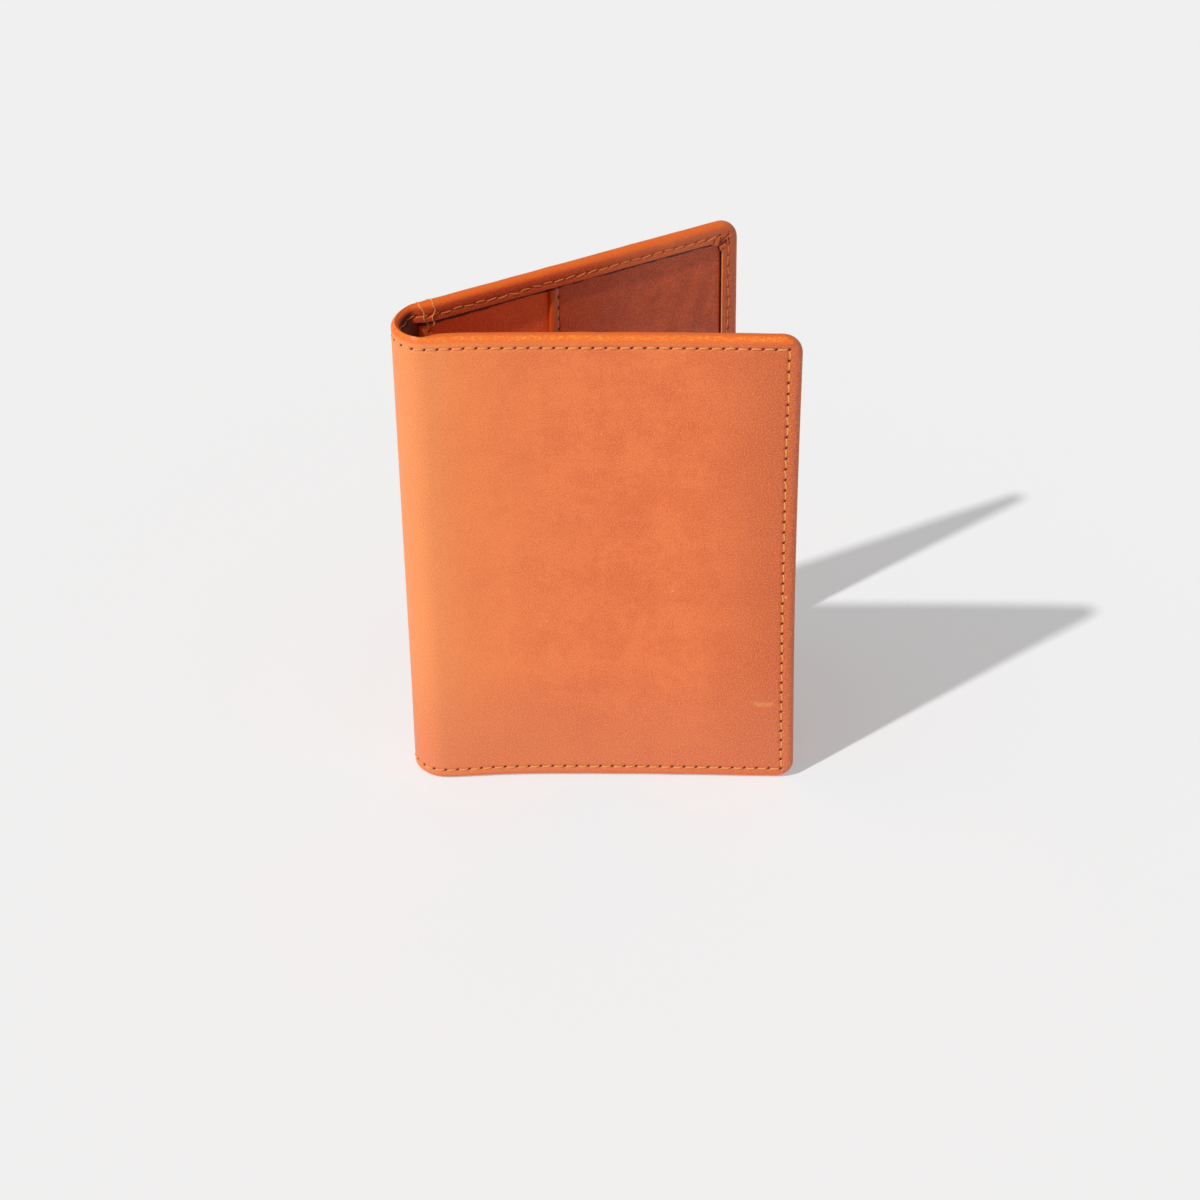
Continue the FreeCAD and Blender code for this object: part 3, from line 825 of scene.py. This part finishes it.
def pocket_material(name, lip, light, dark, shade, gap):
    """The same hide as the cover, skived thin: blotchier, drier and creased where it is pulled."""
    material, tree, shader, place = start_material(name)
    axes = add(tree, "ShaderNodeSeparateXYZ", {"Vector": place}).outputs
    grain = place_group(tree, leather_grain, {"Place": place, "Pore Size": 0.5, "Pull": 1.2})
    from_lip = math_node(tree, "SUBTRACT", axes["X"], lip)

    # Slanting streaks and blotches, painted shade behind the mouth, and rubbed bright along the lip.
    slant = {"Vector": place, "Rotation": (0, 0.9, 0), "Scale": (0.20, 1, 0.09)}
    slanted = add(tree, "ShaderNodeMapping", slant).outputs[0]
    blotch = clouds(tree, place, 0.24, 3.0, 0.6)
    mask = math_node(tree, "MULTIPLY", blotch, 0.5)
    mask = math_node(tree, "MULTIPLY_ADD", clouds(tree, slanted, 1.0, 3.0, 0.6), 0.5, mask)
    colour = blend_colour(tree, step_up(tree, mask, 0.36, 0.66), dark, light)
    painted_shade_behind_mouth = outside_of(tree, step_up(tree, from_lip, 3.0, 34.0))
    colour = tint(tree, colour, painted_shade_behind_mouth, 0.88, shade)
    colour = tint(tree, colour, grain["Speckle"], 0.35, (1.0, 0.20, 0.035))
    colour = tint(tree, colour, grain["Grit"], 0.55, (0.34, 0.030, 0.005))
    rubbed = outside_of(tree, step_up(tree, from_lip, 1.0, 2.2))
    colour = tint(tree, colour, rubbed, 0.70, (0.70, 0.110, 0.012))

    # The needle holes along the mouth, painted dark as shade.
    along = math_node(tree, "SUBTRACT", axes["Z"], LIP_SEAM_START)
    across = math_node(tree, "SUBTRACT", from_lip, LIP_SEAM_INSET)
    holes = place_group(tree, needle_holes, {"Along": along, "Across": across, "Pitch": PITCH_LIP})
    colour = tint(tree, colour, holes["Dent"], 0.4, (0.38, 0.07, 0.02))
    colour = blend_colour(tree, holes["Hole"], colour, (0.045, 0.006, 0.002))

    # Painted shade in the gap where the sheet runs in under the border, wider towards the fold, and in a thin
    # line along the free side.
    from_end = math_node(tree, "SUBTRACT", HEIGHT / 2 - BORDER, away_from(tree, axes["Z"], HEIGHT / 2))
    from_side = math_node(tree, "SUBTRACT", PANEL_WIDTH - BORDER, axes["X"])
    wander = math_node(tree, "MULTIPLY_ADD", blotch, -1.8, 0.9)
    narrowed = math_node(tree, "MULTIPLY_ADD", step_up(tree, axes["X"], 8.0, 44.0), 0.5, wander)
    painted_gap_shade = step_up(tree, math_node(tree, "ADD", from_end, narrowed), gap + 0.4, gap)
    painted_gap_shade = math_node(tree, "MAXIMUM", painted_gap_shade, step_up(tree, from_side, 0.55, 0.25))
    colour = tint(tree, colour, painted_gap_shade, 0.92, (0.050, 0.008, 0.003))
    tree.links.new(colour, shader.inputs["Base Color"])

    roughness = math_node(tree, "MULTIPLY_ADD", grain["Mottle"], 0.14, 0.44)
    tree.links.new(roughness, shader.inputs["Roughness"])
    shader.inputs["Specular IOR Level"].default_value = 0.38
    height = math_node(tree, "MULTIPLY_ADD", holes["Dent"], -2.0, grain["Height"])
    raise_grain(tree, shader, height, 0.45, 0.00012)
    return material


def flat_pocket(across, upright_span, top):
    """A pocket sheet with a turned hem under its mouth, and a rounded lip."""
    lip, far = across
    bm = slab(across, (top - POCKET_LEATHER, top), upright_span)
    cut_across(bm, (1, 0, 0), [lip + HEM_WIDTH])
    under = [f for f in bm.faces if f.normal.y < -0.9 and f.calc_center_median().x < lip + HEM_WIDTH]
    turned = bmesh.ops.extrude_face_region(bm, geom=under)
    bmesh.ops.delete(bm, geom=under, context="FACES")
    turned_vertices = [part for part in turned["geom"] if isinstance(part, bmesh.types.BMVert)]
    bmesh.ops.translate(bm, vec=(0, -HEM, 0), verts=turned_vertices)
    bmesh.ops.dissolve_limit(bm, angle_limit=0.02, verts=bm.verts, edges=bm.edges)
    mouth = [e for e in bm.edges if all(v.co.x < lip + 0.01 for v in e.verts)]
    rims = [e for e in mouth if abs(e.verts[0].co.y - e.verts[1].co.y) < 0.01]
    round_edges(bm, rims, LIP_ROUND, 4)
    rows = [lip + step for step in LIP_ROWS]
    rows += [lip + HEM_WIDTH + 1.2 * i for i in range(80) if lip + HEM_WIDTH + 1.2 * i < far - 0.2]
    cut_across(bm, (1, 0, 0), rows)
    cut_across(bm, (0, 0, 1), [LIP_SEAM_START + PITCH_LIP / 3 * i for i in range(3 * LIP_STITCHES + 1)])
    return bm


def pocket_ripple(lip, strength, seed):
    """How a pocket sheet rises at its lip, is drawn down along its seam, and creases in between."""

    def ripple(x, y, z):
        from_lip = x - lip
        puff = LIP_PUFF * math.sin(math.pi * min(max(from_lip / LIP_SEAM_INSET, 0.0), 1.0))
        drawn = -0.10 * math.exp(-(((from_lip - LIP_SEAM_INSET) / 0.4) ** 2))
        held = min(z - 4, HEIGHT - 4 - z, PANEL_WIDTH - 4 - x)
        free = ease(held, 0.0, 9.0)
        under_border = -0.26 * (1 - ease(held, -1.0, 5.0))
        wide = noise.noise(Vector((x / 14, z / 17, seed)))
        crease = noise.noise(Vector(((x + z * 0.6) / 4.5, (z - x * 0.6) / 13, seed + 4)))
        small = noise.noise(Vector((x / 2.6, z / 2.6, seed + 8)))
        return puff + drawn + under_border + strength * free * (0.20 * wide + 0.13 * crease + 0.07 * small)

    return ripple


slip_leather = pocket_material(
    "slip_pocket_hide",
    lip=slip_span[0],
    light=(1.0, 0.130, 0.010),
    dark=(0.86, 0.095, 0.007),
    shade=(0.98, 0.090, 0.006),
    gap=1.8,
)
card_leather = pocket_material(
    "card_pocket_hide",
    lip=card_span[0],
    light=(0.66, 0.112, 0.029),
    dark=(0.45, 0.066, 0.021),
    shade=(0.50, 0.056, 0.011),
    gap=1.45,
)
pockets = {
    "slip": (slip_span, slip_upright, SLIP_TOP, slip_leather, pocket_ripple(slip_span[0], 0.6, 21.0)),
    "card": (card_span, card_upright, CARD_TOP, card_leather, pocket_ripple(card_span[0], 1.0, 37.0)),
}
for side in ("front", "rear"):
    for pocket, (across, upright_span, top, leather, ripple) in pockets.items():
        bm = flat_pocket(across, upright_span, top)
        name = f"{side}_{pocket}_pocket"
        lay_and_fix(f"{name}_sheet", bm, side, leather, "pocket_leather", name, bends=False, ripple=ripple)


# Stitching.  Waxed golden-tan thread in a lockstitch along the perimeter, outside and inside,
# and along each pocket mouth.  Each stitch lies in a pressed line and dives into a needle hole
# at both ends.
OUTER_STITCH = dict(width=0.44, height=0.30, bow=-0.16, slant=0.05, hole_gap=0.75, waver=1.0)
INNER_STITCH = dict(width=0.30, height=0.24, bow=0.0, slant=0.08, hole_gap=0.10, waver=3.2)
LIP_STITCH = dict(width=0.40, height=0.28, bow=0.08, slant=-0.08, hole_gap=0.9, waver=1.6)
CORNER_CUT = 0.12


def thread_material(name, light, dark):
    """Twisted, waxed thread: slanting plies, darker in the valleys between them."""
    material, tree, shader, place = start_material(name, mapped="thread_mm")
    axes = add(tree, "ShaderNodeSeparateXYZ", {"Vector": place}).outputs
    turn = math_node(tree, "ARCTAN2", axes["Y"], axes["Z"])
    twist = math_node(tree, "MULTIPLY_ADD", axes["X"], 9.0, math_node(tree, "MULTIPLY", turn, 2.0))
    ply = math_node(tree, "MULTIPLY_ADD", math_node(tree, "SINE", twist), 0.5, 0.5)
    colour = blend_colour(tree, ply, dark, light)
    colour = tint(tree, colour, clouds(tree, place, 2.2, 3.0, 0.6), 0.35, dark)
    tree.links.new(colour, shader.inputs["Base Color"])
    tree.links.new(math_node(tree, "MULTIPLY_ADD", ply, -0.12, 0.60), shader.inputs["Roughness"])
    shader.inputs["Specular IOR Level"].default_value = 0.4
    raise_grain(tree, shader, ply, 0.5, 0.0001)
    return material


def thread_template(cuts):
    """A straight eight-sided thread of unit length and width, cut into short lengths to bend."""
    bm = bmesh.new()
    turned = Matrix.Rotation(math.pi / 2, 4, "Y")
    bmesh.ops.create_cone(bm, cap_ends=True, segments=8, radius1=0.5, radius2=0.5, depth=1.0, matrix=turned)
    cut_across(bm, (1, 0, 0), cuts)
    bm.verts.layers.float_vector.new("thread_mm")
    mesh = bpy.data.meshes.new("thread_template")
    bm.to_mesh(mesh)
    bm.free()
    return mesh


def add_stitch(bm, template, start, end, depth, inward, width, height, bow, slant, hole_gap, waver):
    """One stitch between two needle holes, given flat as (x, z)."""
    run = Vector((end[0] - start[0], end[1] - start[1]))
    length = run.length - hole_gap
    heading = run.normalized()
    sideways = Vector((-heading.y, heading.x))
    middle = Vector(((start[0] + end[0]) / 2, (start[1] + end[1]) / 2))
    lean = slant + draw.gauss(0, 0.04) * waver
    shift = draw.gauss(0, 0.035) * waver
    bulge = bow + draw.gauss(0, 0.05) * waver
    lift = draw.gauss(0, 0.015)
    phase = draw.uniform(0, 50)
    thread = bm.verts.layers.float_vector["thread_mm"]
    count = len(bm.verts)
    bm.from_mesh(template)
    bm.verts.ensure_lookup_table()
    for vertex in bm.verts[count:]:
        along, side, up = vertex.co
        share = abs(along) * 2
        thin = 1 - 0.3 * share ** 4
        vertex[thread] = (along * length + phase, side, up)
        across = side * width * thin + bulge * (1 - share ** 2) + lean * along * length + shift
        proud = up * height * thin + lift - 0.32 * share ** 6
        place = middle + heading * along * length + sideways * across
        vertex.co = Vector((place.x, depth - inward * proud, place.y))


def sew(name, side, runs, nodes, material, bends=True, ripple=None, **look):
    """Sews every stitch of a seam as one piece."""
    template = thread_template((-0.4, -0.22, 0, 0.22, 0.4))
    bm = bmesh.new()
    bm.verts.layers.float_vector.new("thread_mm")
    for start, end in runs:
        add_stitch(bm, template, start, end, **look)
    bpy.data.meshes.remove(template)
    lay_and_fix(name, bm, side, material, "thread", *nodes, bends=bends, ripple=ripple)


def perimeter_runs(over_fold, corner_cut):
    """Every stitch from the back of the fold along each end, and up the free edge."""
    round_fold = [-PITCH_FOLD * i for i in range(3 + over_fold, 0, -1)]
    stations = round_fold + [PITCH_ACROSS * i for i in range(STITCHES_ACROSS)]
    low_turn = SEAM_INSET + corner_cut
    high_turn = HEIGHT - SEAM_INSET - corner_cut
    runs = []
    for level, turned in ((SEAM_INSET, low_turn), (HEIGHT - SEAM_INSET, high_turn)):
        line = [(x, level) for x in stations] + [(SEAM_END - corner_cut, turned)]
        pairs = list(zip(line, line[1:]))
        runs += pairs if level < HEIGHT / 2 else [(b, a) for a, b in pairs]
    column = [(SEAM_END, SEAM_INSET + PITCH_UP * i) for i in range(STITCHES_UP + 1)]
    column[0] = (SEAM_END - corner_cut, low_turn)
    column[-1] = (SEAM_END - corner_cut, high_turn)
    return runs + list(zip(column, column[1:]))


draw = random.Random(41)
gold_thread = thread_material("gold_thread", light=(0.98, 0.47, 0.12), dark=(0.68, 0.24, 0.045))
worn_thread = thread_material("worn_gold_thread", light=(0.98, 0.36, 0.10), dark=(0.66, 0.18, 0.04))
for side in ("front", "rear"):
    sews_fold = side == "front"
    nodes = [f"{side}_outer_seam"] + (["fold_outer_seam"] if sews_fold else [])
    outer = dict(depth=0.02, inward=1, **OUTER_STITCH)
    sew(f"{side}_outer_stitching", side, perimeter_runs(sews_fold, 0.0), nodes, gold_thread, **outer)
    nodes = [f"{side}_inner_seam"] + (["fold_inner_seam"] if sews_fold else [])
    inner = dict(depth=THICKNESS - 0.04, inward=-1, **INNER_STITCH)
    sew(f"{side}_inner_stitching", side, perimeter_runs(sews_fold, CORNER_CUT), nodes, worn_thread, **inner)
    for pocket, (across, upright_span, top, leather, ripple) in pockets.items():
        seam_place = across[0] + LIP_SEAM_INSET
        line = [(seam_place, LIP_SEAM_START + PITCH_LIP * i) for i in range(LIP_STITCHES + 1)]
        runs = list(zip(line, line[1:]))
        name = f"{side}_{pocket}_pocket"
        nodes = [f"{name}_seam"]
        look = dict(depth=top - 0.02, inward=-1, bends=False, ripple=ripple, **LIP_STITCH)
        sew(f"{name}_stitching", side, runs, nodes, worn_thread, **look)


# Edge wraps.  At each end of the rear panel's inner seam, two turns of the same thread pass over
# the rolled edge beside the fold.  They bind the ends of the border down.
WRAP_WIDTH = 0.30
WRAPS = ((1.5, 10.6, 0.40), (4.2, 12.2, 0.55))


def over_edge(travelled, proud):
    """A point on the rolled edge: depth, and distance in from the edge, after a run along it."""
    stretches = (SEAM_INSET - ROLL, math.pi / 2 * ROLL, THICKNESS - 2 * ROLL, math.pi / 2 * ROLL)
    if travelled < stretches[0]:
        return -proud, SEAM_INSET - travelled
    travelled -= stretches[0]
    if travelled < stretches[1]:
        turn = travelled / ROLL
        return ROLL - (ROLL + proud) * math.cos(turn), ROLL - (ROLL + proud) * math.sin(turn)
    travelled -= stretches[1]
    if travelled < stretches[2]:
        return ROLL + travelled, -proud
    travelled -= stretches[2]
    if travelled < stretches[3]:
        turn = travelled / ROLL
        return THICKNESS - ROLL + (ROLL + proud) * math.sin(turn), ROLL - (ROLL + proud) * math.cos(turn)
    return THICKNESS + proud, ROLL + travelled - stretches[3]


def add_wrap(bm, template, start, length, sway, upper):
    """One turn of thread over the edge, wavering a little as it goes."""
    thread = bm.verts.layers.float_vector["thread_mm"]
    count = len(bm.verts)
    bm.from_mesh(template)
    bm.verts.ensure_lookup_table()
    for vertex in bm.verts[count:]:
        along, side, up = vertex.co
        vertex[thread] = (along * length, side, up)
        travelled = (along + 0.5) * length
        end = min(travelled, length - travelled)
        sunk = 0.3 * (1 - ease(end, 0.0, 0.5)) + (0.0 if upper else 0.22)
        depth, inset = over_edge(travelled, 0.03 + up * WRAP_WIDTH - sunk)
        waver = math.sin(travelled * 0.62 + start) * 0.8 + 0.5 * math.sin(travelled * 1.8)
        x = start + side * WRAP_WIDTH + sway * (waver + travelled / length)
        vertex.co = Vector((x, depth, HEIGHT - inset if upper else inset))


template = thread_template([i / 30 - 0.5 for i in range(1, 30)])
bm = bmesh.new()
bm.verts.layers.float_vector.new("thread_mm")
for upper in (True, False):
    for start, length, sway in WRAPS:
        add_wrap(bm, template, start, length, sway, upper)
bpy.data.meshes.remove(template)
bmesh.ops.recalc_face_normals(bm, faces=bm.faces)
lay_and_fix("rear_edge_wrap_threads", bm, "rear", gold_thread, "thread", "rear_edge_wraps")
